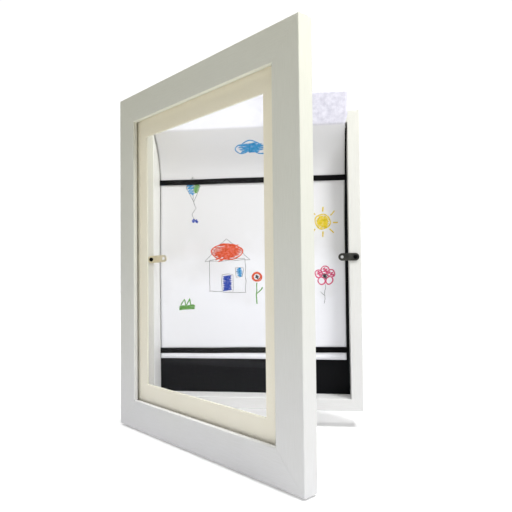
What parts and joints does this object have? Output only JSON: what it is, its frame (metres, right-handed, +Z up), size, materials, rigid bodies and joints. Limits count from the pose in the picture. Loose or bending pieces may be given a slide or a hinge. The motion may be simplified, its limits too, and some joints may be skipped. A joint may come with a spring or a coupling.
{
  "type": "front-opening children's art frame",
  "caption": "White wall frame for children's drawings: a shallow tray with elastic straps behind a side-hinged glazed door with a cream mat.",
  "frame": {"origin": "middle of the back panel's rear face, the face that hangs against the wall", "axes": "+X to the viewer's right, +Y into the wall, +Z up"},
  "size_m": [0.264, 0.209, 0.358],
  "materials": {
    "white_wrap": "satin white paper-wrapped fibreboard",
    "clear_sheet": "clear acrylic",
    "mat_card": "matt cream card with a white core",
    "black_board": "matt black-faced fibreboard",
    "drawing_paper": "white drawing paper",
    "black_elastic": "flat woven elastic",
    "grey_metal": "satin dark grey",
    "beige_metal": "satin pale gold",
    "black_screw": "black oxide",
    "bright_steel": "bright zinc plate",
    "soft_rubber": "translucent bumper rubber"
  },
  "bodies": {
    "tray": {"tray_side_left": "white_wrap", "tray_side_right": "white_wrap", "tray_rail_top": "white_wrap", "tray_rail_bottom": "white_wrap", "back_panel": "black_board", "art_sheet": "drawing_paper", "strap_upper": "black_elastic", "strap_lower": "black_elastic", "closing_magnet_tray_upper": "bright_steel", "closing_magnet_tray_lower": "bright_steel", "turn_button_screw_left": "black_screw", "turn_button_screw_right": "black_screw", "hinge_upper_tray_leaf": "bright_steel", "hinge_upper_pin": "bright_steel", "hinge_upper_tray_screw_a": "bright_steel", "hinge_upper_tray_screw_b": "bright_steel", "hinge_lower_tray_leaf": "bright_steel", "hinge_lower_pin": "bright_steel", "hinge_lower_tray_screw_a": "bright_steel", "hinge_lower_tray_screw_b": "bright_steel", "wall_bumper_left": "soft_rubber", "wall_bumper_right": "soft_rubber", "hanger_portrait": "bright_steel", "hanger_portrait_nail_a": "bright_steel", "hanger_portrait_nail_b": "bright_steel", "hanger_landscape": "bright_steel", "hanger_landscape_nail_a": "bright_steel", "hanger_landscape_nail_b": "bright_steel"},
    "door": {"door_stile_hinge": "white_wrap", "door_stile_free": "white_wrap", "door_rail_top": "white_wrap", "door_rail_bottom": "white_wrap", "door_pane": "clear_sheet", "door_mat": "mat_card", "mat_point_hinge_a": "bright_steel", "mat_point_hinge_b": "bright_steel", "mat_point_free_a": "bright_steel", "mat_point_free_b": "bright_steel", "mat_point_top_a": "bright_steel", "mat_point_top_b": "bright_steel", "mat_point_bottom_a": "bright_steel", "mat_point_bottom_b": "bright_steel", "hinge_upper_door_leaf": "bright_steel", "hinge_upper_door_screw_a": "bright_steel", "hinge_upper_door_screw_b": "bright_steel", "hinge_lower_door_leaf": "bright_steel", "hinge_lower_door_screw_a": "bright_steel", "hinge_lower_door_screw_b": "bright_steel", "closing_magnet_door_upper": "bright_steel", "closing_magnet_door_lower": "bright_steel", "door_bumper_upper": "soft_rubber", "door_bumper_lower": "soft_rubber"},
    "button_left": {"turn_button_left": "beige_metal"},
    "button_right": {"turn_button_right": "grey_metal"}
  },
  "joints": [
    {"name": "door_hinge", "type": "hinge", "parent": "tray", "child": "door", "pos_m": [-0.1228, -0.0272, 0], "axis": [0, 0, -1], "range_deg": [-40, 60]},
    {"name": "button_left_turn", "type": "hinge", "parent": "tray", "child": "button_left", "pos_m": [-0.11, -0.027, 0.0028], "axis": [0, 1, 0], "range_deg": [-90, 90]},
    {"name": "button_right_turn", "type": "hinge", "parent": "tray", "child": "button_right", "pos_m": [0.114, -0.027, 0.0028], "axis": [0, 1, 0], "range_deg": [-90, 90]}
  ]
}
